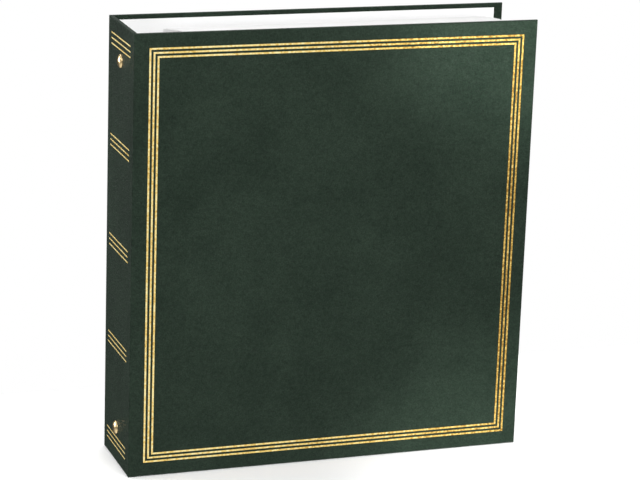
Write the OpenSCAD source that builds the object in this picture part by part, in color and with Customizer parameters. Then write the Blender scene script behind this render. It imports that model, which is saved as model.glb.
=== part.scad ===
// Three-ring stamp album, closed and standing on its tail edge.
// X runs from the spine to the fore edge, Y from the front cover to the rear
// cover, Z upwards. The origin is at the centre of the footprint.

/* [Album] */
// Height of the covers
album_h = 305; // [298:1:360]
// Width of the album, from the spine's outer face to the fore edge
album_w = 283; // [240:1:340]
// Depth over the two closed covers
album_d = 65; // [56:1:90]

/* [Cover layers] */
// Thickness of the leatherette
skin_t = 0.6; // [0.4:0.1:1]
// Thickness of the greyboard core
board_t = 1.9; // [1.4:0.1:3]
// Thickness of the white lining and of the turned-in leatherette beside it
lining_t = 0.5; // [0.3:0.1:0.8]
// Margin of turned-in leatherette along the head and the tail
turn_in_head = 3; // [2:0.5:12]
// Margin of turned-in leatherette along the fore edge
turn_in_fore = 6.4; // [2:0.2:16]
// Margin of turned-in leatherette along the hinge side
turn_in_hinge = 2; // [1:0.5:6]
// Radius of the covers' outer edges
edge_r = 0.8; // [0.3:0.1:1.2]
// Gap between the boards at a fold
fold_gap = 0.3; // [0.3:0.1:1]

/* [Gold ornament] */
// Thickness of the foil
foil_t = 0.2; // [0.1:0.05:0.3]
// Depth that the foil is pressed below the leatherette
foil_sink = 0.05; // [0:0.05:0.1]
// Width of a line of the front border
border_line = 1.25; // [0.6:0.05:2]
// Distance between the lines of the front border
border_pitch = 2.75; // [2.2:0.05:5]
// Lines in the front border
border_lines = 3; // [1:1:5]
// Outer line's distance from the fold
border_from_fold = 11; // [6:0.5:30]
// Outer line's distance from the other three edges
border_from_edge = 10.2; // [5:0.2:30]
// Width of a line on the spine
stripe_line = 1; // [0.5:0.1:2]
// Distance between the lines of a group on the spine
stripe_pitch = 3.7; // [2.5:0.1:6]
// Groups of lines on the spine
stripe_groups = 5; // [2:1:8]
// Lines in each group
stripe_lines = 3; // [1:1:3]
// Middle of the outer groups from the head and from the tail
stripe_from_head = 13.7; // [10:0.1:14]
// Distance of the lines' ends from the front edge of the spine
stripe_from_front = 9; // [5:0.5:20]
// Distance of the lines' ends from the rear edge of the spine
stripe_from_rear = 7.5; // [5:0.5:20]

/* [Ring mechanism] */
// Diameter of the ring wire
wire_d = 3; // [2:0.1:4]
// Room between a closed ring and each cover
ring_side_gap = 3.5; // [3:0.1:8]
// Distance between the rings
ring_spacing = 108; // [70:1:112]
// Opening angle of each half ring
ring_open = 5; // [3:0.5:6]
// Gap between the two halves of a closed ring
tip_gap = 0.3; // [0.2:0.05:0.6]
// Diameter of the locating peg on a ring's tip
peg_d = 1.4; // [1:0.1:1.6]
// Length of the locating peg
peg_l = 1; // [0.6:0.1:1.6]
// Clearance around the locating peg
peg_clear = 0.2; // [0.1:0.05:0.3]
// Diameter of the leg that joins a ring to its hinge plate
leg_d = 2.4; // [1.6:0.1:2.8]
// Distance of the legs from the middle of the mechanism
leg_y = 6.5; // [6:0.1:7]
// Length of the base plate
base_l = 280; // [262:1:288]
// Width of the base plate
base_w = 20; // [19.5:0.1:24]
// Height of the base plate's side walls
base_wall = 2.5; // [2.3:0.1:3]
// Rise of the base plate's arch above its side walls
base_rise = 3; // [2.6:0.1:3.4]
// Thickness of the base plate
base_t = 0.8; // [0.6:0.1:1]
// Height of the lips that are curled in along the base plate's edges
lip_h = 0.5; // [0.3:0.1:0.8]
// Width of the lips that are curled in along the base plate's edges
lip_w = 1.2; // [1:0.1:1.5]
// Thickness of the two hinge plates
blade_t = 0.7; // [0.5:0.05:0.8]
// Height of the hinge plates' outer edges above the lining
blade_h = 2; // [1.8:0.05:2.1]
// Gap between the two hinge plates
blade_gap = 0.4; // [0.3:0.05:0.8]
// Clearance between a hinge plate and the side wall beside it
blade_side_clear = 0.8; // [0.8:0.05:0.9]
// Clearance around the ring wire in the base plate's slots
slot_clear = 0.5; // [0.4:0.05:0.8]

/* [Opening levers] */
// Width of a lever
lever_w = 10; // [7:0.5:11]
// Thickness of a lever
lever_t = 1; // [0.8:0.1:1.2]
// Height of a lever's straight stem
lever_stem = 6; // [5:0.5:8]
// Radius of a lever's curved thumb piece
lever_r = 12; // [8:0.5:14]
// Arc of a lever's curved thumb piece
lever_arc = 60; // [40:5:75]
// Diameter of a lever's pivot pin
pin_d = 1.2; // [0.8:0.1:1.4]
// Height of a lever's pivot pin above the lining
pin_h = 1; // [0.9:0.05:1.1]
// Clearance around a lever's pivot pin
pin_clear = 0.05; // [0.02:0.01:0.1]
// Distance of a lever's pivot pin from the end of the base plate
pin_from_end = 4; // [3:0.5:6]
// Length of the foot that lifts the hinge plates
foot_l = 2.4; // [1.6:0.1:2.6]
// Clearance around a lever in the base plate's notch
notch_clear = 0.4; // [0.3:0.05:0.6]

/* [Rivets] */
// Diameter of a rivet's domed head
rivet_head_d = 9.3; // [7:0.1:11]
// Height of a rivet's domed head
rivet_head_h = 2.5; // [1.5:0.1:3.2]
// Diameter of a rivet's shank
rivet_d = 4; // [3:0.1:4.4]
// Diameter of a rivet's clinched end
clinch_d = 6.4; // [5.2:0.1:7]
// Thickness of a rivet's clinched end
clinch_t = 0.5; // [0.3:0.1:1]
// Clearance around a rivet's shank
rivet_clear = 0.05; // [0.02:0.01:0.2]
// Clearance around a rivet in the hinge plates
rivet_notch = 1; // [0.5:0.1:1.2]
// Distance of the rivets from the ends of the base plate
rivet_from_end = 12.2; // [12:0.1:16]

/* [Leaves] */
// Leaves' distance below the head of the covers
leaf_head_gap = 8.5; // [6:0.5:20]
// Middle leaves' distance inside the fore edge of the covers
leaf_fore_gap = 5; // [3:0.5:20]
// Distance of the hole centres from the leaves' spine edge
leaf_margin = 9.5; // [8:0.1:10]
// Diameter of the holes
leaf_hole_d = 8; // [7.6:0.1:9]
// Distance that the leaves hang down on the rings
leaf_drop = 1.8; // [1.4:0.1:1.8]
// Distance of the hole centres outside the closed ring wire
leaf_hole_out = 1.15; // [1:0.05:1.2]
// Thickness of the title leaf
title_t = 0.6; // [0.3:0.1:1]
// Room inside each side of the rings that the leaves leave free
stack_side_gap = 2.5; // [2.5:0.1:8]
// Gap between neighbouring bundles
bundle_gap = 0.3; // [0.3:0.1:0.6]
// Spread of the leaves at the fore edge, compared with the ring side
leaf_spread = 1.24; // [1:0.01:1.24]

/* [Hidden] */
$fn = 64;

leatherette_green = [0.18, 0.23, 0.19];
foil_gold = [0.87, 0.72, 0.35];
board_grey = [0.62, 0.6, 0.56];
lining_white = [0.98, 0.98, 0.98];
leaf_white = [0.95, 0.95, 0.94];
nickel = [0.78, 0.78, 0.8];
rivet_brass = [0.8, 0.65, 0.38];

over = 1;                                   // how far a cutter passes a face
cover_t = skin_t + board_t + lining_t;
spine_x = (rivet_head_h - album_w) / 2;     // the spine's outer face
mid_z = album_h / 2;
cover_start = skin_t + fold_gap;            // from the spine's outer face
spine_w = album_d - 2 * (cover_t + fold_gap);

wire_r = wire_d / 2;
leg_r = leg_d / 2;
ring_r = album_d / 2 - cover_t - ring_side_gap - wire_r;
base_h = base_wall + base_rise;
base_arch_r = (pow(base_w / 2, 2) + pow(base_rise, 2)) / (2 * base_rise);
leg_top_h = sqrt(pow(base_arch_r, 2) - pow(leg_y, 2)) - base_arch_r + base_h;
ring_x = cover_t + leg_top_h + sqrt(pow(ring_r, 2) - pow(leg_y, 2));  // ring centre
leg_angle = asin(leg_y / ring_r);
tip_angle = asin(tip_gap / 2 / ring_r);
ring_heights = [mid_z + ring_spacing, mid_z, mid_z - ring_spacing];

blade_edge_y = base_w / 2 - base_t - blade_side_clear;
blade_tilt = ring_open / 2;
blade_end_gap = 1.5;                        // from a lever's pin to the plates
blade_l = base_l - 2 * (pin_from_end + blade_end_gap);
pin_z = base_l / 2 - pin_from_end;
rivet_z = base_l / 2 - rivet_from_end;

hole_ring_r = ring_r + leaf_hole_out;
stack_half = ring_r - stack_side_gap;
bundle_count = 8;
bundle_t = 2 * stack_half / bundle_count;
leaf_w = album_w - leaf_fore_gap - ring_x - hole_ring_r + leaf_margin;
leaf_h = album_h - 2 * (leaf_head_gap - leaf_drop);
leaf_edge_steps = 6;

// ---- places ----

module from_spine_face() {
    translate([spine_x, 0, 0]) children();
}

module from_front_fold() {
    translate([spine_x, -album_d / 2, 0]) children();
}

module from_lining() {
    translate([spine_x + cover_t, 0, mid_z]) children();
}

module at_ring_centre(z = 0) {
    translate([spine_x + ring_x, 0, z]) children();
}

// ---- covers ----

module rounded_rect(size, r) {
    translate([r, 0]) square([size[0] - 2 * r, size[1]]);
    translate([0, r]) square([size[0], size[1] - 2 * r]);
    for (x = [r, size[0] - r], y = [r, size[1] - r])
        translate([x, y]) circle(r);
}

// Closed form of a cover: square at the fold, rounded along the other edges
module cover_blank() {
    intersection() {
        linear_extrude(album_h) intersection() {
            rounded_rect([album_w, cover_t], edge_r);
            translate([cover_start, 0]) square([album_w, cover_t]);
        }
        rotate([90, 0, 90]) linear_extrude(album_w)
            rounded_rect([cover_t, album_h], edge_r);
    }
}

module cover_board_space() {
    translate([cover_start + skin_t, skin_t, skin_t])
        cube([album_w - cover_start - 2 * skin_t, board_t, album_h - 2 * skin_t]);
}

module cover_lining_space(extra = 0) {
    translate([cover_start + turn_in_hinge, cover_t - lining_t, turn_in_head])
        cube([album_w - cover_start - turn_in_hinge - turn_in_fore,
              lining_t + extra, album_h - 2 * turn_in_head]);
}

module cover_skin() {
    difference() {
        cover_blank();
        cover_board_space();
        cover_lining_space(over);
    }
}

module border_frame(i, depth) {
    inset = i * border_pitch;
    frame_w = album_w - border_from_fold - border_from_edge - 2 * inset;
    frame_h = album_h - 2 * (border_from_edge + inset);
    translate([border_from_fold + inset, depth, border_from_edge + inset])
        rotate([90, 0, 0]) linear_extrude(depth) difference() {
            translate([-border_line / 2, -border_line / 2])
                square([frame_w + border_line, frame_h + border_line]);
            translate([border_line / 2, border_line / 2])
                square([frame_w - border_line, frame_h - border_line]);
        }
}

module front_board() {
    color(board_grey) from_front_fold() cover_board_space();
}

module front_leatherette() {
    color(leatherette_green) from_front_fold() difference() {
        cover_skin();
        for (i = [0 : border_lines - 1])
            border_frame(i, foil_t + foil_sink);
    }
}

module front_lining() {
    color(lining_white) from_front_fold() cover_lining_space();
}

module front_gold_border() {
    color(foil_gold) from_front_fold() difference() {
        for (i = [0 : border_lines - 1])
            border_frame(i, foil_t + foil_sink);
        translate([0, -over, 0]) cube([album_w, over + foil_sink, album_h]);
    }
}

module rear_board() {
    color(board_grey) mirror([0, 1, 0]) from_front_fold() cover_board_space();
}

module rear_leatherette() {
    color(leatherette_green) mirror([0, 1, 0]) from_front_fold() cover_skin();
}

module rear_lining() {
    color(lining_white) mirror([0, 1, 0]) from_front_fold() cover_lining_space();
}

// ---- spine ----

module rivet_holes(r) {
    for (side = [-1, 1])
        translate([-over, 0, mid_z + side * rivet_z])
            rotate([0, 90, 0]) cylinder(r = r, h = cover_t + base_h + 3 * over);
}

module spine_board_space() {
    translate([skin_t, skin_t - spine_w / 2, skin_t])
        cube([board_t, spine_w - 2 * skin_t, album_h - 2 * skin_t]);
}

module spine_lining_space(extra = 0) {
    translate([cover_t - lining_t, turn_in_hinge - spine_w / 2, turn_in_head])
        cube([lining_t + extra, spine_w - 2 * turn_in_hinge,
              album_h - 2 * turn_in_head]);
}

module spine_stripes(depth) {
    group_pitch = (album_h - 2 * stripe_from_head) / (stripe_groups - 1);
    front_y = stripe_from_front - album_d / 2;
    stripe_l = album_d - stripe_from_front - stripe_from_rear;
    for (group = [0 : stripe_groups - 1], i = [0 : stripe_lines - 1]) {
        z = stripe_from_head + group * group_pitch
            + (i - (stripe_lines - 1) / 2) * stripe_pitch;
        translate([0, front_y, z - stripe_line / 2])
            cube([depth, stripe_l, stripe_line]);
    }
}

module spine_board() {
    color(board_grey) from_spine_face() difference() {
        spine_board_space();
        rivet_holes(rivet_d / 2 + rivet_clear);
    }
}

module spine_leatherette() {
    color(leatherette_green) from_spine_face() difference() {
        translate([0, -spine_w / 2, 0]) cube([cover_t, spine_w, album_h]);
        spine_board_space();
        spine_lining_space(over);
        rivet_holes(rivet_d / 2 + rivet_clear);
        translate([-over, 0, 0]) spine_stripes(over + foil_t + foil_sink);
    }
}

module spine_lining() {
    color(lining_white) from_spine_face() difference() {
        spine_lining_space();
        rivet_holes(rivet_d / 2 + rivet_clear);
    }
}

module spine_gold_stripes() {
    color(foil_gold) from_spine_face()
        translate([foil_sink, 0, 0]) spine_stripes(foil_t);
}

// Strip of leatherette that turns the corner from the spine to the front cover
module fold_strip() {
    color(leatherette_green) from_front_fold() {
        translate([0, skin_t / 2, 0])
            cube([skin_t, cover_t + fold_gap - skin_t / 2, album_h]);
        translate([skin_t / 2, skin_t / 2, 0])
            cylinder(d = skin_t, h = album_h);
    }
}

module front_fold() {
    fold_strip();
}

module rear_fold() {
    mirror([0, 1, 0]) fold_strip();
}

// ---- ring mechanism ----

// Arch across the base plate, with X as its height
module base_arch(half_w, r) {
    intersection() {
        translate([base_h - base_arch_r, 0]) circle(r, $fn = 128);
        translate([0, -half_w]) square([base_h + over, 2 * half_w]);
    }
}

// Thin arch whose lower edges are curled in to hold the hinge plates
module base_profile() {
    mouth_half = base_w / 2 - base_t - lip_w;
    difference() {
        base_arch(base_w / 2, base_arch_r);
        intersection() {
            base_arch(base_w / 2 - base_t, base_arch_r - base_t);
            translate([lip_h, -base_w]) square([base_h, 2 * base_w]);
        }
        translate([-over, -mouth_half]) square([2 * over + lip_h, 2 * mouth_half]);
    }
}

module ring_base_plate() {
    slot_half = wire_r + slot_clear;
    slot_in = leg_y - wire_r - slot_clear;
    slot_out = base_w / 2 - lip_h;
    slot_floor = blade_h + blade_t / 2;
    color(nickel) from_lining() difference() {
        translate([0, 0, -base_l / 2]) linear_extrude(base_l) base_profile();
        for (z = [-1, 0, 1] * ring_spacing, side = [0, 1]) mirror([0, side, 0])
            translate([slot_floor, slot_in, z - slot_half])
                cube([base_h, slot_out - slot_in, 2 * slot_half]);
        for (side = [-1, 1])
            translate([base_wall, 0, side * rivet_z]) rotate([0, 90, 0])
                cylinder(r = rivet_d / 2 + rivet_clear, h = base_h);
        for (side = [0, 1]) mirror([0, 0, side])
            translate([pin_h + pin_d, -lever_w / 2 - notch_clear, pin_z - foot_l / 2])
                cube([base_h, lever_w + 2 * notch_clear, base_l]);
        for (side = [-1, 1])
            translate([pin_h, 0, side * pin_z]) rotate([90, 0, 0])
                cylinder(r = pin_d / 2 + pin_clear, h = base_w + over, center = true);
    }
}

// Hinge plate of the front half, tilted towards the spine while the rings are shut
module blade_front() {
    color(nickel) from_lining() difference() {
        translate([blade_h, -blade_edge_y, -blade_l / 2]) rotate([0, 0, blade_tilt])
            translate([-blade_t / 2, 0, 0])
                cube([blade_t, blade_edge_y - blade_gap / 2, blade_l]);
        for (side = [-1, 1])
            translate([0, 0, side * rivet_z]) rotate([0, 90, 0])
                cylinder(r = rivet_d / 2 + rivet_notch, h = base_h);
        for (z = [-1, 0, 1] * ring_spacing)
            translate([0, -leg_y, z]) rotate([0, 90, 0])
                cylinder(r = leg_r + pin_clear, h = base_h);
    }
}

module hinge_plate_front() {
    blade_front();
}

module hinge_plate_rear() {
    mirror([0, 1, 0]) blade_front();
}

// Half ring on the rear side, with its leg down to the hinge plate
module half_ring() {
    leg_end_h = blade_h - blade_t;
    leg_x = -ring_r * cos(leg_angle);
    rotate([0, 0, tip_angle])
        rotate_extrude(angle = 180 - leg_angle - tip_angle, $fn = 96)
            translate([ring_r, 0]) circle(wire_r, $fn = 32);
    translate([leg_x, leg_y, 0]) sphere(wire_r * 1.05, $fn = 32);
    translate([cover_t + leg_end_h - ring_x, leg_y, 0]) rotate([0, 90, 0])
        cylinder(r = leg_r, h = ring_x - cover_t - leg_end_h + leg_x, $fn = 32);
}

module front_half_ring(i) {
    color(nickel) at_ring_centre(ring_heights[i]) {
        mirror([0, 1, 0]) half_ring();
        translate([ring_r, -peg_l, 0]) rotate([-90, 0, 0])
            cylinder(d = peg_d, h = 2 * peg_l, $fn = 32);
    }
}

module rear_half_ring(i) {
    color(nickel) at_ring_centre(ring_heights[i]) difference() {
        half_ring();
        translate([ring_r, 0, 0]) rotate([-90, 0, 0])
            cylinder(r = peg_d / 2 + peg_clear, h = peg_l + tip_gap, $fn = 32);
    }
}

module ring_front_top() { front_half_ring(0); }
module ring_front_middle() { front_half_ring(1); }
module ring_front_bottom() { front_half_ring(2); }
module ring_rear_top() { rear_half_ring(0); }
module ring_rear_middle() { rear_half_ring(1); }
module ring_rear_bottom() { rear_half_ring(2); }

// Side view of a lever, with X as its height above the pin and Y outwards
module lever_profile() {
    translate([-pin_d / 2, -lever_t / 2])
        square([lever_stem + pin_d / 2, lever_t]);
    translate([-pin_d / 2, -foot_l])
        square([pin_d / 2, foot_l]);
    translate([lever_stem, lever_r]) intersection() {
        difference() {
            circle(lever_r + lever_t / 2, $fn = 96);
            circle(lever_r - lever_t / 2, $fn = 96);
        }
        polygon([[0, 0], [0, -2 * lever_r],
                 2 * lever_r * [tan(lever_arc / 2), -1],
                 2 * lever_r * [sin(lever_arc), -cos(lever_arc)]]);
    }
    translate([lever_stem + lever_r * sin(lever_arc),
               lever_r * (1 - cos(lever_arc))])
        circle(lever_t * 0.8, $fn = 32);
}

module lever() {
    color(nickel) translate([pin_h, 0, pin_z]) {
        rotate([90, 0, 0]) translate([0, 0, -lever_w / 2])
            linear_extrude(lever_w) lever_profile();
        rotate([90, 0, 0])
            cylinder(d = pin_d, h = base_w - base_t, center = true, $fn = 32);
    }
}

module lever_top() {
    from_lining() lever();
}

module lever_bottom() {
    from_lining() mirror([0, 0, 1]) lever();
}

module spine_rivets() {
    dome_r = (pow(rivet_head_d / 2, 2) + pow(rivet_head_h, 2)) / (2 * rivet_head_h);
    clinch_x = cover_t + base_h + rivet_clear;
    color(rivet_brass) from_spine_face() for (side = [-1, 1])
        translate([0, 0, mid_z + side * rivet_z]) {
            intersection() {
                translate([dome_r - rivet_head_h, 0, 0]) sphere(dome_r);
                translate([-rivet_head_h - over, -rivet_head_d, -rivet_head_d])
                    cube([rivet_head_h + over, 2 * rivet_head_d, 2 * rivet_head_d]);
            }
            translate([-rivet_head_h / 2, 0, 0]) rotate([0, 90, 0])
                cylinder(d = rivet_d, h = rivet_head_h / 2 + clinch_x + clinch_t);
            translate([clinch_x, 0, 0]) rotate([0, 90, 0])
                cylinder(d = clinch_d, h = clinch_t);
        }
}

// ---- leaves ----

// Spine edge of a leaf that lies at y, from the middle of the rings
function leaf_edge(y) = sqrt(pow(hole_ring_r, 2) - pow(y, 2)) - leaf_margin;

// Bundle of leaves between y0 and y1; its holes follow the rings
module leaf_bundle(y0, y1) {
    ys = [for (i = [0 : leaf_edge_steps]) y0 + (y1 - y0) * i / leaf_edge_steps];
    spine_side = [for (y = ys) [leaf_edge(y), y]];
    fore_side = [for (i = [leaf_edge_steps : -1 : 0])
        [leaf_edge(ys[i]) + leaf_w, ys[i] * leaf_spread]];
    color(leaf_white) difference() {
        at_ring_centre(mid_z - leaf_drop - leaf_h / 2)
            linear_extrude(leaf_h) polygon(concat(spine_side, fore_side));
        for (z = ring_heights)
            at_ring_centre(z - leaf_drop) rotate_extrude($fn = 96)
                translate([hole_ring_r, 0]) circle(d = leaf_hole_d, $fn = 32);
    }
}

module bundle(i) {
    y0 = -stack_half + (i - 1) * bundle_t;
    leaf_bundle(y0 + bundle_gap / 2, y0 + bundle_t - bundle_gap / 2);
}

module title_leaf() {
    leaf_bundle(-stack_half - bundle_gap / 2 - title_t, -stack_half - bundle_gap / 2);
}

module leaves_1() { bundle(1); }
module leaves_2() { bundle(2); }
module leaves_3() { bundle(3); }
module leaves_4() { bundle(4); }
module leaves_5() { bundle(5); }
module leaves_6() { bundle(6); }
module leaves_7() { bundle(7); }
module leaves_8() { bundle(8); }

spine_board();
spine_leatherette();
spine_lining();
spine_gold_stripes();
front_fold();
rear_fold();
front_board();
front_leatherette();
front_lining();
front_gold_border();
rear_board();
rear_leatherette();
rear_lining();
ring_base_plate();
hinge_plate_front();
hinge_plate_rear();
ring_front_top();
ring_front_middle();
ring_front_bottom();
ring_rear_top();
ring_rear_middle();
ring_rear_bottom();
lever_top();
lever_bottom();
spine_rivets();
title_leaf();
leaves_1();
leaves_2();
leaves_3();
leaves_4();
leaves_5();
leaves_6();
leaves_7();
leaves_8();
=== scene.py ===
import math
import random

import bpy
from mathutils import Matrix, Vector


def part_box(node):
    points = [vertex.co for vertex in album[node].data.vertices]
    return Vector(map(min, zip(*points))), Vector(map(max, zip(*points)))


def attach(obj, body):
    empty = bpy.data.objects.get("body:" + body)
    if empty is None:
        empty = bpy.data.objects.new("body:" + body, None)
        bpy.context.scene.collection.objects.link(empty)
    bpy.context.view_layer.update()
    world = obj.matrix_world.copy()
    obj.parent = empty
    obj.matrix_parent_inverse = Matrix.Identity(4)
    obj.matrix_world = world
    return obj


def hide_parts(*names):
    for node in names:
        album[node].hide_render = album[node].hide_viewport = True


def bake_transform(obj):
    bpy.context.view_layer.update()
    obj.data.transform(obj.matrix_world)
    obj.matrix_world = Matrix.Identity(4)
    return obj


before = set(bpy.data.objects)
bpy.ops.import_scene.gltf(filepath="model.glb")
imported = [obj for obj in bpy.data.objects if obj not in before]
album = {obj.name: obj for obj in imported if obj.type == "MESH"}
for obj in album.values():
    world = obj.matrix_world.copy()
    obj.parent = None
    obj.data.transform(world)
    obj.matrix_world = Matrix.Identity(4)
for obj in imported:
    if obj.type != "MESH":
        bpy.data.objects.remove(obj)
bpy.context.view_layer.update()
mm = 0.001


# ---------------------------------------------------------------- camera

def place_camera(turn, height, distance, lens, aim, roll):
    """Looks at aim from turn degrees round the front cover towards the spine, height degrees up."""
    t, h = math.radians(turn), math.radians(height)
    back = Vector((-math.sin(t) * math.cos(h), -math.cos(t) * math.cos(h), math.sin(h)))
    data = bpy.data.cameras.new("camera")
    data.lens = lens
    data.sensor_width = 36.0
    data.clip_start = 0.05
    camera = bpy.data.objects.new("camera", data)
    bpy.context.scene.collection.objects.link(camera)
    camera.location = Vector(aim) + back * distance
    look = back.to_track_quat("Z", "Y").to_matrix().to_4x4()
    tilt = Matrix.Rotation(math.radians(roll), 4, "Z")
    camera.matrix_world = Matrix.Translation(camera.location) @ look @ tilt
    bpy.context.scene.camera = camera


place_camera(
    turn=19.5, height=16, distance=1.7560, lens=146.3,
    aim=(-0.00865, -0.0325, 0.15900), roll=2,
)


# ---------------------------------------------------------------- nodes of a finish

def new_finish(name):
    """A material with its node tree and its shader."""
    material = bpy.data.materials.new(name)
    material.use_nodes = True
    tree = material.node_tree
    return material, tree, tree.nodes["Principled BSDF"]


def feed(tree, node, values):
    """Gives a node's inputs their values: another node's output is linked, a number is set."""
    for key, value in values.items():
        socket = node.inputs[key]
        if hasattr(value, "is_output"):
            tree.links.new(value, socket)
        else:
            socket.default_value = value


def add(tree, kind, settings=None, **values):
    """Adds a node with its settings and inputs; i0, i1 and so on are inputs by number."""
    node = tree.nodes.new("ShaderNode" + kind)
    for key, value in (settings or {}).items():
        setattr(node, key, value)
    feed(tree, node, {
        int(key[1:]) if key[1:].isdigit() else key: value for key, value in values.items()
    })
    return node


def position(tree):
    return add(tree, "TexCoord").outputs["Object"]


def noise(tree, where, scale, detail, roughness=0.5):
    """Cloudy noise from 0 to 1, with about scale spots to the metre."""
    node = add(
        tree, "TexNoise", Vector=where, Scale=scale, Detail=detail, Roughness=roughness,
    )
    return node.outputs["Fac"]


def reckon(tree, operation, *values):
    """One number made of others by ADD, SUBTRACT, MULTIPLY or MULTIPLY_ADD."""
    inputs = {"i%d" % i: value for i, value in enumerate(values)}
    return add(tree, "Math", {"operation": operation}, **inputs).outputs["Value"]


def spread(tree, value, start, end, first, last, how="LINEAR"):
    """Runs from first to last while value goes from start to end, and keeps still outside."""
    node = add(
        tree, "MapRange", {"interpolation_type": how},
        i0=value, i1=start, i2=end, i3=first, i4=last,
    )
    return node.outputs["Result"]


def ramp(tree, factor, *stops):
    """A colour ramp from (place, colour) stops."""
    node = add(tree, "ValToRGB", Fac=factor)
    ends = node.color_ramp.elements
    while len(ends) < len(stops):
        ends.new(0.5)
    for end, (place, colour) in zip(ends, stops):
        end.position = place
        end.color = (*colour, 1.0)
    return node.outputs["Color"]


def bump(tree, height, strength, distance, **more):
    """The tilt that height gives a surface; distance is how deep it is, in metres."""
    node = add(tree, "Bump", Strength=strength, Distance=distance, Height=height, **more)
    return node.outputs["Normal"]


# ---------------------------------------------------------------- studio

def hang(name, data, place, aim):
    """Hangs a lamp at place, facing aim, where the camera doesn't see it."""
    lamp = bpy.data.objects.new(name, data)
    bpy.context.scene.collection.objects.link(lamp)
    lamp.location = place
    away = Vector(place) - Vector(aim)
    lamp.rotation_euler = away.to_track_quat("Z", "Y").to_euler()
    lamp.visible_camera = False


def softbox(name, place, aim, size, watts):
    """A large lamp with a cloth front of that size."""
    data = bpy.data.lights.new(name, "AREA")
    data.shape = "RECTANGLE"
    data.size, data.size_y = size
    data.energy = watts
    hang(name, data, place, aim)


def soft_spot(name, place, aim, cone, watts):
    """A small soft-edged lamp that lights one corner; its cone is in degrees."""
    data = bpy.data.lights.new(name, "SPOT")
    data.energy = watts
    data.spot_size = math.radians(cone)
    data.spot_blend = 1.0
    data.shadow_soft_size = 0.03
    hang(name, data, place, aim)


def white_room():
    """White all round to the camera; its light is less by the spine, and least low behind."""
    world = bpy.data.worlds.new("studio")
    world.use_nodes = True
    tree = world.node_tree
    direction = add(tree, "SeparateXYZ", Vector=add(tree, "TexCoord").outputs["Generated"])
    across, back, up = (direction.outputs[axis] for axis in "XYZ")
    walls = spread(tree, across, -0.8, 0.9, 0.30, 0.5, "SMOOTHSTEP")
    ceiling = spread(tree, up, 0.4, 0.95, 0.0, 0.7, "SMOOTHSTEP")
    ground = spread(tree, up, -0.05, -0.7, 0.0, 2.4, "SMOOTHSTEP")
    behind = spread(tree, back, 0.2, 0.85, 0.0, 0.9, "SMOOTHSTEP")
    low = spread(tree, up, 0.45, 0.0, 0.0, 1.0, "SMOOTHSTEP")
    under = reckon(tree, "MULTIPLY", ground, walls)
    all_round = reckon(tree, "ADD", reckon(tree, "ADD", walls, ceiling), under)
    kept = reckon(tree, "SUBTRACT", 1.0, reckon(tree, "MULTIPLY", behind, low))
    light = reckon(tree, "MULTIPLY", all_round, kept)
    seen = add(tree, "LightPath").outputs["Is Camera Ray"]
    strength = add(tree, "Mix", Factor=seen, A=light, B=1.0).outputs["Result"]
    feed(tree, tree.nodes["Background"], {"Color": (1.0, 1.0, 1.0, 1.0), "Strength": strength})
    bpy.context.scene.world = world


def floor_finish():
    material, tree, shader = new_finish("pale_floor")
    grain = noise(tree, position(tree), 3.0, 2.0)
    pale = ramp(tree, grain, (0.3, (0.96, 0.96, 0.96)), (0.7, (0.98, 0.98, 0.98)))
    feed(tree, shader, {"Base Color": pale, "Roughness": 0.9, "Specular IOR Level": 0.1})
    return material


def studio():
    """The room, lamps over the front, the back and the spine, one for each fore corner, a floor."""
    white_room()
    softbox("lamp_over_front", (0.1, -1.9, 1.5), (0, 0, 0.1), (2.0, 1.4), 42)
    softbox("lamp_over_back", (0.2, 1.6, 2.0), (0, 0, 0), (2.0, 1.4), 22)
    softbox("lamp_by_spine", (-1.7, 0.9, 0.5), (-0.14, 0, 0.15), (1.2, 1.2), 27)
    soft_spot("lamp_head_corner", (-0.04, -0.36, 0.20), (0.19, -0.03, 0.375), 52, 14)
    soft_spot("lamp_tail_corner", (-0.04, -0.36, 0.10), (0.17, -0.03, -0.06), 50, 7.5)
    bpy.ops.mesh.primitive_plane_add(size=1, location=(0, -0.3, -0.0004))
    floor = bpy.context.object
    floor.scale = (1.6, 0.9, 1)
    floor.name = "floor"
    floor.data.materials.append(floor_finish())
    floor.visible_diffuse = False
    floor.visible_glossy = False
    bpy.context.scene.view_settings.view_transform = "Standard"


# ---------------------------------------------------------------- finishes

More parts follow.
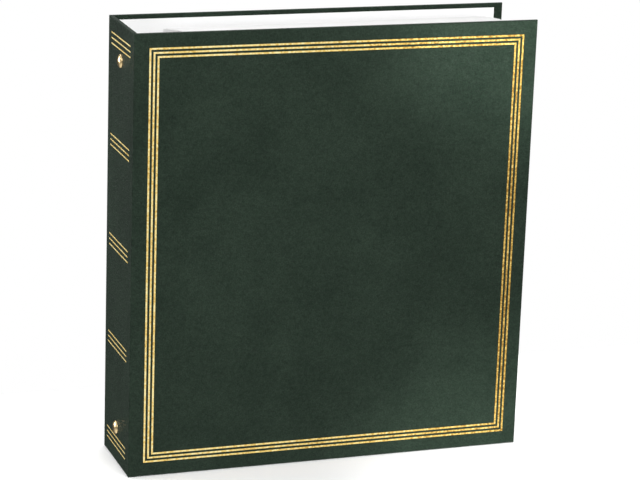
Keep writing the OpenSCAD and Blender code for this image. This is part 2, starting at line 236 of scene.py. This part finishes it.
def leatherette_finish():
    """Dark green bookbinder's leatherette: fine pebbles and creases, faintly cloudy, half matt,
    with painted shade between the pebbles.
    """
    material, tree, shader = new_finish("green_leatherette")
    where = position(tree)
    wander = add(tree, "TexNoise", Vector=where, Scale=900.0, Detail=2.0)
    bent = add(
        tree, "VectorMath", {"operation": "MULTIPLY_ADD"},
        i0=wander.outputs["Color"], i1=(0.0006, 0.0006, 0.0006), i2=where,
    )
    pebbles = add(
        tree, "TexVoronoi", {"feature": "SMOOTH_F1"},
        Vector=bent.outputs["Vector"], Scale=950.0, Smoothness=0.35,
    ).outputs["Distance"]
    drawn = add(
        tree, "Mapping", Vector=where, Rotation=(0, math.radians(8), 0), Scale=(0.45, 1.0, 1.3),
    )
    creases = noise(tree, drawn.outputs["Vector"], 330.0, 6.0, 0.7)
    clouds = noise(tree, where, 22.0, 6.0, 0.65)
    mottle = spread(tree, noise(tree, where, 420.0, 3.0, 0.8), 0.36, 0.64, 0.0, 0.34)
    green = ramp(
        tree, reckon(tree, "ADD", clouds, mottle),
        (0.42, (0.0098, 0.0208, 0.0125)), (0.92, (0.0208, 0.0372, 0.0240)),
    )
    # painted shade: the green is multiplied darker in the hollows between the pebbles and lighter
    # on their tops
    painted_valley_shade = ramp(tree, pebbles, (0.15, (1.12, 1.12, 1.12)), (0.85, (0.58, 0.58, 0.58)))
    green_with_painted_shade = add(
        tree, "Mix", {"data_type": "RGBA", "blend_type": "MULTIPLY"},
        Factor=0.85, A=green, B=painted_valley_shade,
    )
    pebbled = add(
        tree, "Bump", {"invert": True}, Strength=0.8, Distance=0.0002, Height=pebbles,
    )
    feed(tree, shader, {
        "Base Color": green_with_painted_shade.outputs["Result"],
        "Roughness": spread(tree, creases, 0.35, 0.65, 0.36, 0.58),
        "Normal": bump(tree, creases, 1.0, 0.0009, Normal=pebbled.outputs["Normal"]),
        "Specular IOR Level": 0.10,
    })
    return material


def foil_finish(name, metallic):
    """Hot-stamped gold foil that takes the grain beneath; patchy, with painted shade that darkens
    it towards the fore edge.
    """
    material, tree, shader = new_finish(name)
    where = position(tree)
    patches = noise(tree, where, 520.0, 4.0, 0.75)
    broad = noise(tree, where, 24.0, 2.0)
    speckle = spread(tree, patches, 0.33, 0.67, 0.0, 0.6)
    mixed = reckon(tree, "MULTIPLY_ADD", broad, 0.4, speckle)
    across = add(tree, "SeparateXYZ", Vector=where).outputs["X"]
    # painted shade: the foil's colour is made darker towards the fore edge, by up to 0.3 along its
    # ramp
    painted_shade_to_fore_edge = spread(tree, across, -0.06, 0.14, 0.0, 0.30)
    gold = ramp(
        tree, reckon(tree, "SUBTRACT", mixed, painted_shade_to_fore_edge),
        (0.08, (0.36, 0.18, 0.02)), (0.38, (0.88, 0.60, 0.15)), (0.66, (1.0, 0.86, 0.42)),
    )
    feed(tree, shader, {
        "Base Color": gold,
        "Metallic": metallic,
        "Roughness": spread(tree, patches, 0.3, 0.7, 0.30, 0.50),
        "Normal": bump(tree, patches, 0.5, 0.00008),
    })
    return material


def metal_finish(name, pale, deep, low, high):
    """Plated metal with hairline rubbing: colour from deep to pale, roughness from low to high."""
    material, tree, shader = new_finish(name)
    where = position(tree)
    rubbed = noise(tree, where, 900.0, 4.0, 0.6)
    film = noise(tree, where, 35.0, 3.0)
    feed(tree, shader, {
        "Base Color": ramp(tree, film, (0.3, deep), (0.7, pale)),
        "Metallic": 1.0,
        "Roughness": spread(tree, rubbed, 0.3, 0.7, low, high),
        "Normal": bump(tree, rubbed, 0.12, 0.00004),
    })
    return material


def paper_finish(name, shade, darker, fibre, depth):
    """Uncoated paper or board: its shade, how much darker its fibres run, their scale and depth."""
    material, tree, shader = new_finish(name)
    where = position(tree)
    fibres = noise(tree, where, fibre, 6.0, 0.7)
    blush = noise(tree, where, 14.0, 2.0)
    half = reckon(tree, "MULTIPLY", reckon(tree, "ADD", fibres, blush), 0.5)
    dark = tuple(c * (1 - darker) for c in shade)
    feed(tree, shader, {
        "Base Color": ramp(tree, half, (0.35, dark), (0.65, shade)),
        "Roughness": 0.75,
        "Specular IOR Level": 0.25,
        "Normal": bump(tree, fibres, 0.4, depth),
    })
    return material


studio()

leatherette = leatherette_finish()
foil = foil_finish("gold_foil", 0.6)
spine_foil = foil_finish("gold_foil_on_spine", 0.3)
nickel = metal_finish("bright_nickel", (0.82, 0.81, 0.78), (0.72, 0.71, 0.68), 0.12, 0.26)
brass = metal_finish("rivet_brass", (0.86, 0.68, 0.38), (0.72, 0.53, 0.27), 0.16, 0.30)
lining = paper_finish("white_lining", (0.90, 0.90, 0.90), 0.03, 700.0, 0.00004)
leaf_paper = paper_finish("leaf_paper", (0.74, 0.74, 0.737), 0.04, 900.0, 0.00003)
greyboard = paper_finish("greyboard", (0.42, 0.40, 0.37), 0.25, 500.0, 0.0001)

# the first of these words in a node's name gives its finish
FINISHES = {
    "stripes": spine_foil,
    "leatherette": leatherette,
    "fold": leatherette,
    "gold": foil,
    "lining": lining,
    "board": greyboard,
    "rivets": brass,
    "leaf": leaf_paper,
    "leaves": leaf_paper,
    "ring": nickel,
    "plate": nickel,
    "lever": nickel,
}


def dress_node(name):
    for word, finish in FINISHES.items():
        if word in name.split("_"):
            node = album[name]
            node.data.materials.clear()
            node.data.materials.append(finish)
            return
    raise SystemExit("no finish for " + name)


for node_name in album:
    dress_node(node_name)


# ---------------------------------------------------------------- modelling by hand

# a normal past this looks straight along its axis; a hair is less than any real size here
straight = 0.99
hair = 0.001 * mm


def near(a, b, slack=0.02 * mm):
    return abs(a - b) < slack


def put_all_down():
    """Leaves nothing selected."""
    for other in bpy.context.selected_objects:
        other.select_set(False)


def take(piece):
    """Makes piece the one selected, active object."""
    put_all_down()
    piece.select_set(True)
    bpy.context.view_layer.objects.active = piece


def open_mesh(piece):
    """Goes into edit mode with the whole mesh selected."""
    take(piece)
    bpy.ops.object.mode_set(mode="EDIT")
    bpy.ops.mesh.select_all(action="SELECT")


def close_mesh():
    bpy.ops.object.mode_set(mode="OBJECT")


def start_picking(piece, kind):
    """Leaves nothing of the mesh selected, so that points, edges or faces can be picked."""
    take(piece)
    bpy.ops.object.mode_set(mode="EDIT")
    bpy.ops.mesh.select_mode(type=kind)
    bpy.ops.mesh.select_all(action="DESELECT")
    close_mesh()


def pick_points(piece, test):
    """Selects the points whose place passes test, and leaves edit mode on."""
    start_picking(piece, "VERT")
    for point in piece.data.vertices:
        point.select = test(point.co)
    bpy.ops.object.mode_set(mode="EDIT")


def pick_edges(piece, test):
    """Selects the edges whose two ends pass test, and leaves edit mode on."""
    start_picking(piece, "EDGE")
    points = piece.data.vertices
    for edge in piece.data.edges:
        edge.select = test(points[edge.vertices[0]].co, points[edge.vertices[1]].co)
    bpy.ops.object.mode_set(mode="EDIT")


def pick_faces(piece, test):
    """Selects the faces whose middle and normal pass test, and leaves edit mode on."""
    start_picking(piece, "FACE")
    for face in piece.data.polygons:
        face.select = test(face.center, face.normal)
    bpy.ops.object.mode_set(mode="EDIT")


def apply_modifiers(piece):
    take(piece)
    for modifier in list(piece.modifiers):
        bpy.ops.object.modifier_apply(modifier=modifier.name)


def block(name, low, high):
    """A new block between two corners, with its place in its mesh."""
    put_all_down()
    bpy.ops.mesh.primitive_cube_add(size=1)
    piece = bpy.context.object
    piece.name = name
    low, high = Vector(low), Vector(high)
    piece.location = (low + high) / 2
    piece.scale = high - low
    bpy.ops.object.transform_apply(location=True, rotation=True, scale=True)
    return piece


def rod(radius, length, place, turn):
    """A plain cylinder that serves as a cutter."""
    put_all_down()
    bpy.ops.mesh.primitive_cylinder_add(
        vertices=24, radius=radius, depth=length, location=place, rotation=turn,
    )
    return bpy.context.object


def cut_away(piece, cutter):
    """Takes the cutter's shape out of piece and deletes the cutter."""
    cut = piece.modifiers.new("cut", "BOOLEAN")
    cut.operation = "DIFFERENCE"
    cut.solver = "EXACT"
    cut.object = cutter
    apply_modifiers(piece)
    bpy.data.objects.remove(cutter)


def bisect(piece, point, normal):
    """Cuts an edge loop through the whole mesh along a plane."""
    open_mesh(piece)
    bpy.ops.mesh.bisect(plane_co=point, plane_no=normal)
    close_mesh()


def round_edges(piece, test, radius, steps=4):
    pick_edges(piece, test)
    bpy.ops.mesh.bevel(offset=radius, segments=steps, profile=0.5, affect="EDGES")
    close_mesh()


def smooth(piece, angle):
    take(piece)
    bpy.ops.object.shade_smooth_by_angle(angle=math.radians(angle))


def even_normals(piece):
    """Smooth shading that keeps the broad faces flat."""
    smooth(piece, 35)
    weights = piece.modifiers.new("flat_faces", "WEIGHTED_NORMAL")
    weights.keep_sharp = True
    apply_modifiers(piece)


def joined(name, parts):
    """Joins parts into one piece of that name."""
    take(parts[0])
    for part in parts[1:]:
        part.select_set(True)
    if len(parts) > 1:
        bpy.ops.object.join()
    piece = bpy.context.object
    piece.name = name
    return piece


def finish_piece(piece, finish, body=None, nodes=()):
    """Gives piece its finish, the body that it rides on and the nodes that it stands for."""
    piece.data.materials.clear()
    piece.data.materials.append(finish)
    if body:
        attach(piece, body)
    if nodes:
        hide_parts(*nodes)


# ---------------------------------------------------------------- covers and spine

album_h = 305 * mm
spine_face, spine_half = -140.25 * mm, 29.2 * mm
cover_face = 32.5 * mm
cover_start, fore_x = -139.35 * mm, 142.75 * mm
cover_t, lining_t = 3 * mm, 0.5 * mm
turn_in_head, turn_in_fore, turn_in_hinge = 3 * mm, 6.4 * mm, 2 * mm
edge_r = 0.7 * mm
groove = 0.25 * mm
mitre_w, mitre_depth = 0.8 * mm, 0.35 * mm
shortest_mitre, longest_mitre = 0.5 * mm, 12 * mm
shortest_side = 1 * mm
border_line, border_pitch, border_lines = 1.25 * mm, 2.75 * mm, 3
border_from_fold, border_from_edge = 11 * mm, 10.2 * mm
stripe_line, stripe_pitch, stripe_lines, stripe_groups = 1 * mm, 3.7 * mm, 3, 5
stripe_from_head, stripe_from_front, stripe_from_rear = 13.7 * mm, 9 * mm, 7.5 * mm
rivet_heights = (24.7 * mm, 280.3 * mm)
rivet_hole_r = 2.05 * mm


def split_mitres(piece, axes):
    """Splits the edges from the window's corners to the board's; returns their middle points."""
    level = ({0, 1, 2} - set(axes)).pop()

    def slanting(a, b):
        run = b - a
        in_plane = abs(run[level]) < hair and run.length < longest_mitre
        return in_plane and all(abs(run[i]) > shortest_mitre for i in axes)

    pick_edges(piece, slanting)
    bpy.ops.mesh.bevel(offset=mitre_w / 2, segments=2, profile=0.5, affect="EDGES")
    close_mesh()
    shared = {}
    for face in piece.data.polygons:
        if face.select:
            for index in face.vertices:
                shared[index] = shared.get(index, 0) + 1
    return [piece.data.vertices[index].co.copy() for index, faces in shared.items() if faces == 2]


def lining_window(piece, face_test, low, high, depth):
    """Sinks the lining's window by depth, and leaves mitred turn-ins of leatherette round it."""
    pick_faces(piece, face_test)
    bpy.ops.mesh.inset(thickness=1 * mm)
    close_mesh()
    # the inset's corners move out to the window's
    axes = [i for i in range(3) if not near(low[i], high[i])]
    for face in piece.data.polygons:
        if face.select:
            for index in face.vertices:
                point = piece.data.vertices[index].co
                for i in axes:
                    point[i] = low[i] if point[i] < face.center[i] else high[i]
    creases = [
        point for point in split_mitres(piece, axes)
        if all(low[i] - mitre_w < point[i] < high[i] + mitre_w for i in axes)
    ]
    pick_faces(piece, lambda c, n: face_test(c, n) and all(low[i] < c[i] < high[i] for i in axes))
    bpy.ops.mesh.extrude_region_move(TRANSFORM_OT_translate={"value": depth})
    pick_points(piece, lambda p: any((p - crease).length < hair for crease in creases))
    bpy.ops.transform.translate(value=depth.normalized() * mitre_depth)
    close_mesh()


def score_and_sink(piece, face_test, cuts, groove_test, sink):
    """Cuts lines into the outer face and presses the foil's grooves between them."""
    for point, normal in cuts:
        pick_faces(piece, face_test)
        bpy.ops.mesh.bisect(plane_co=point, plane_no=normal)
        close_mesh()
    pick_faces(piece, lambda c, n: face_test(c, n) and groove_test(c))
    bpy.ops.mesh.extrude_region_move(TRANSFORM_OT_translate={"value": sink})
    close_mesh()


def clear_board(skin, board, towards):
    """Takes out the board's room, so that the skin is a thin wrap whose window opens on it."""
    low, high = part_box(board)
    past = towards * 0.01 * mm
    low = [min(a, a + step) for a, step in zip(low, past)]
    high = [max(a, a + step) for a, step in zip(high, past)]
    cut_away(skin, block("board_room", low, high))


def border_frames():
    """The border's three frames, as the left, right, bottom and top of their middle lines."""
    left = spine_face + border_from_fold
    right = fore_x - border_from_edge
    bottom, top = border_from_edge, album_h - border_from_edge
    for i in range(border_lines):
        inset = i * border_pitch
        yield left + inset, right - inset, bottom + inset, top - inset


def on_border(c):
    half = border_line / 2
    for left, right, bottom, top in border_frames():
        inside = left - half < c.x < right + half and bottom - half < c.z < top + half
        within = left + half < c.x < right - half and bottom + half < c.z < top - half
        if inside and not within:
            return True
    return False


def cover_skin(side):
    """Leatherette wrapped over a cover's board; side is -1 for the front, 1 for the rear."""
    name = "front" if side < 0 else "rear"
    outer, inner = side * cover_face, side * (cover_face - cover_t)
    skin = block(
        name + "_skin",
        (cover_start, min(outer, inner), 0), (fore_x, max(outer, inner), album_h),
    )

    def wrapped(a, b):
        along = b - a
        fore = near(a.x, fore_x) and near(b.x, fore_x) and abs(along.z) > shortest_side
        ends = abs(along.x) > shortest_side
        return fore or ends

    round_edges(skin, wrapped, edge_r)
    lining_window(
        skin, lambda c, n: n.y * side < -straight,
        (cover_start + turn_in_hinge, inner, turn_in_head),
        (fore_x - turn_in_fore, inner, album_h - turn_in_head),
        Vector((0, side * lining_t, 0)),
    )
    if side < 0:
        half = border_line / 2
        cuts = []
        for left, right, bottom, top in border_frames():
            cuts += [((x + e * half, 0, 0), (1, 0, 0)) for x in (left, right) for e in (-1, 1)]
            cuts += [((0, 0, z + e * half), (0, 0, 1)) for z in (bottom, top) for e in (-1, 1)]
        score_and_sink(
            skin, lambda c, n: n.y * side > straight and near(c.y, outer), cuts, on_border,
            (0, -side * groove, 0),
        )
    clear_board(skin, name + "_board", Vector((0, -side, 0)))
    even_normals(skin)
    finish_piece(skin, leatherette, name + "_cover", (name + "_leatherette",))


def stripe_heights():
    """The middles of the spine's gold lines, from the tail up."""
    pitch = (album_h - 2 * stripe_from_head) / (stripe_groups - 1)
    for group in range(stripe_groups):
        for i in range(stripe_lines):
            yield stripe_from_head + group * pitch + (i - (stripe_lines - 1) / 2) * stripe_pitch


def spine_skin():
    """Leatherette over the spine's board, with the grooves of its lines and the rivets' holes."""
    inner = spine_face + cover_t
    skin = block("spine_skin", (spine_face, -spine_half, 0), (inner, spine_half, album_h))
    round_edges(skin, lambda a, b: abs((b - a).y) > shortest_side, edge_r)
    lining_window(
        skin, lambda c, n: n.x > straight,
        (inner, turn_in_hinge - spine_half, turn_in_head),
        (inner, spine_half - turn_in_hinge, album_h - turn_in_head),
        Vector((-lining_t, 0, 0)),
    )
    front_y = stripe_from_front - cover_face
    rear_y = cover_face - stripe_from_rear
    half = stripe_line / 2
    rows = list(stripe_heights())
    cuts = [((0, y, 0), (0, 1, 0)) for y in (front_y, rear_y)]
    cuts += [((0, 0, z + e * half), (0, 0, 1)) for z in rows for e in (-1, 1)]

    def striped(c):
        return front_y < c.y < rear_y and any(abs(c.z - z) < half for z in rows)

    score_and_sink(
        skin, lambda c, n: n.x < -straight and near(c.x, spine_face), cuts, striped,
        (groove, 0, 0),
    )
    clear_board(skin, "spine_board", Vector((1, 0, 0)))
    for z in rivet_heights:
        through = rod(rivet_hole_r, 4 * cover_t, (spine_face, 0, z), (0, math.pi / 2, 0))
        cut_away(skin, through)
    even_normals(skin)
    finish_piece(skin, leatherette, "spine", ("spine_leatherette",))


# ---------------------------------------------------------------- rivets

rivet_head_r, rivet_head_h, rivet_rim = 4.65 * mm, 2.5 * mm, 0.35 * mm
shank_r = 1.95 * mm
clinch_r, clinch_t, clinch_edge, clinch_taper = 3.2 * mm, 0.5 * mm, 0.2 * mm, 0.85
crown_rings = 9


def rivet(z):
    """A domed rivet: a thin rim, a crown raised ring by ring, its shank and the clinch inside."""
    put_all_down()
    bpy.ops.mesh.primitive_cylinder_add(
        vertices=48, radius=rivet_head_r, depth=rivet_rim,
        location=(spine_face - rivet_rim / 2, 0, z), rotation=(0, -math.pi / 2, 0),
    )
    head = bpy.context.object
    bpy.ops.object.transform_apply(location=True, rotation=True, scale=True)
    crown_r, crown_h = rivet_head_r, rivet_rim
    pick_faces(head, lambda c, n: n.x < -straight)
    for i in range(1, crown_rings):
        a = math.radians(90 * i / crown_rings)
        r = rivet_head_r * math.cos(a)
        h = rivet_rim + (rivet_head_h - rivet_rim) * math.sin(a)
        bpy.ops.mesh.inset(thickness=crown_r - r)
        bpy.ops.transform.translate(value=(crown_h - h, 0, 0))
        crown_r, crown_h = r, h
    close_mesh()
    pick_faces(head, lambda c, n: n.x > straight)
    bpy.ops.mesh.inset(thickness=rivet_head_r - shank_r)
    shank_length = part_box("spine_rivets")[1].x - clinch_t - spine_face
    steps = (
        (shank_length, 1),
        (0, clinch_r / shank_r),
        (clinch_t - clinch_edge, 1),
        (clinch_edge, clinch_taper),
    )
    for length, grow in steps:
        bpy.ops.mesh.extrude_region_move(TRANSFORM_OT_translate={"value": (length, 0, 0)})
        bpy.ops.transform.resize(value=(1, grow, grow), center_override=(spine_face, 0, z))
    close_mesh()
    return head


def rivets():
    pair = joined("domed_rivets", [rivet(z) for z in rivet_heights])
    open_mesh(pair)
    bpy.ops.mesh.remove_doubles(threshold=0.005 * mm)
    bpy.ops.mesh.select_all(action="SELECT")
    bpy.ops.mesh.normals_make_consistent(inside=False)
    close_mesh()
    smooth(pair, 40)
    finish_piece(pair, brass, "spine", ("spine_rivets",))


# ---------------------------------------------------------------- leaves

ring_x = -109.331 * mm
ring_heights = (260.5 * mm, 152.5 * mm, 44.5 * mm)
ring_r = 25.65 * mm
leaf_margin, leaf_hole_r = 9.5 * mm, 4 * mm
leaf_w, leaf_t = 230.93 * mm, 0.29 * mm
leaf_low, leaf_high = 4.9 * mm, 296.5 * mm
leaf_drop = 1.8 * mm
stack_half, fore_edge_spread = 22 * mm, 1.24
bundles, leaves_in_bundle = 8, 16
# in mm: the cuts across each leaf, and how far leaves lie off their place, out and up
leaf_cuts = (20, 35, 60, 90, 120, 150, 180, 205, 220)
slips, drops = (-0.30, 0.15), (-0.25, 0.25)
title_t, title_y = 0.6 * mm, -22.45 * mm


def leaf_edge(y):
    """How far a leaf at depth y begins from the middle of the rings."""
    return math.sqrt(ring_r ** 2 - y ** 2) - leaf_margin


def leaf_blank(thickness):
    """One leaf at the middle of the stack, its spine edge at x 0, with three punched holes."""
    leaf = block("leaf_blank", (0, -thickness / 2, leaf_low), (leaf_w, thickness / 2, leaf_high))
    for z in ring_heights:
        punch = rod(leaf_hole_r, 10 * mm, (leaf_margin, 0, z - leaf_drop), (math.pi / 2, 0, 0))
        cut_away(leaf, punch)
    for x in leaf_cuts:
        bisect(leaf, (x * mm, 0, 0), (1, 0, 0))
    return leaf


def lay_leaf(blank, y, slip, drop):
    """A copy of the blank at depth y in the stack, lying slip and drop off its place."""
    leaf = blank.copy()
    leaf.data = blank.data.copy()
    bpy.context.scene.collection.objects.link(leaf)
    start = ring_x + leaf_edge(y) + slip
    for vertex in leaf.data.vertices:
        along = vertex.co.x / leaf_w
        fan = y * (fore_edge_spread - 1) * along
        vertex.co = (start + vertex.co.x, vertex.co.y + y + fan, vertex.co.z + drop)
    return leaf


def leaf_stack():
    """Eight bundles of thin leaves and the heavier title leaf."""
    chance = random.Random(7)
    blank = leaf_blank(leaf_t)
    bundle_t = 2 * stack_half / bundles
    for bundle in range(bundles):
        first = -stack_half + bundle * bundle_t
        parts = []
        for i in range(leaves_in_bundle):
            y = first + (i + 0.5) * bundle_t / leaves_in_bundle
            slip = chance.uniform(*slips) * mm
            drop = chance.uniform(*drops) * mm
            parts.append(lay_leaf(blank, y, slip, drop))
        number = str(bundle + 1)
        finish_piece(
            joined("leaf_bundle_" + number, parts), leaf_paper,
            "bundle_" + number, ("leaves_" + number,),
        )
    bpy.data.objects.remove(blank)
    card = leaf_blank(title_t)
    title = joined("title_card", [lay_leaf(card, title_y, 0, 0)])
    bpy.data.objects.remove(card)
    finish_piece(title, leaf_paper, "title_leaf_body", ("title_leaf",))


# ---------------------------------------------------------------- folds

fold_flat = 29.8 * mm
fold_r, fold_t = 0.7 * mm, 0.45 * mm
fold_end_gap, fold_end_r = 0.05 * mm, 0.36 * mm
flat_steps, corner_steps, fold_bands = 4, 10, 12


def fold_path():
    """The fold's outside as (x, depth) points, along the spine and round the corner."""
    path = [
        (spine_face, fold_flat + (cover_face - fold_r - fold_flat) * i / flat_steps)
        for i in range(flat_steps + 1)
    ]
    for i in range(1, corner_steps + 1):
        a = math.radians(90 * i / corner_steps)
        path.append((
            spine_face + fold_r * (1 - math.cos(a)),
            cover_face - fold_r * (1 - math.sin(a)),
        ))
    return path + [(cover_start, cover_face)]


def fold_skin(side):
    """The leatherette that turns a corner of the spine; side is -1 at the front, 1 at the rear."""
    name = "front" if side < 0 else "rear"
    put_all_down()
    bpy.ops.mesh.primitive_plane_add(size=1, rotation=(0, math.pi / 2, 0))
    skin = bpy.context.object
    skin.name = "fold_skin_" + name
    skin.scale = (album_h - 2 * fold_end_gap, fold_flat - spine_half, 1)
    skin.location = (spine_face, side * (spine_half + fold_flat) / 2, album_h / 2)
    bpy.ops.object.transform_apply(location=True, rotation=True, scale=True)
    path = fold_path()
    pick_points(skin, lambda p: near(abs(p.y), fold_flat))
    for before, after in zip(path, path[1:]):
        step = (after[0] - before[0], side * (after[1] - before[1]), 0)
        bpy.ops.mesh.extrude_region_move(TRANSFORM_OT_translate={"value": step})
    close_mesh()
    for i in range(1, fold_bands):
        bisect(skin, (0, 0, album_h * i / fold_bands), (0, 0, 1))
    if skin.data.polygons[0].normal.x > 0:
        open_mesh(skin)
        bpy.ops.mesh.flip_normals()
        close_mesh()
    wall = skin.modifiers.new("wall", "SOLIDIFY")
    wall.thickness = fold_t
    wall.offset = -1
    apply_modifiers(skin)

    def outer_end(p):
        at_end = p.z < 2 * fold_end_gap or p.z > album_h - 2 * fold_end_gap
        bend = Vector((p.x - spine_face - fold_r, abs(p.y) - cover_face + fold_r))
        flat = near(p.x, spine_face) or near(abs(p.y), cover_face)
        return at_end and (flat or bend.length > fold_r - fold_t / 2 and bend.x < 0 < bend.y)

    round_edges(skin, lambda a, b: outer_end(a) and outer_end(b), fold_end_r, 3)
    smooth(skin, 50)
    finish_piece(skin, leatherette, None, (name + "_fold",))
    if side < 0:
        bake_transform(skin)
    else:
        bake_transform(skin)


# ---------------------------------------------------------------- making the pieces

cover_skin(-1)
cover_skin(1)
spine_skin()
rivets()
leaf_stack()
fold_skin(-1)
fold_skin(1)
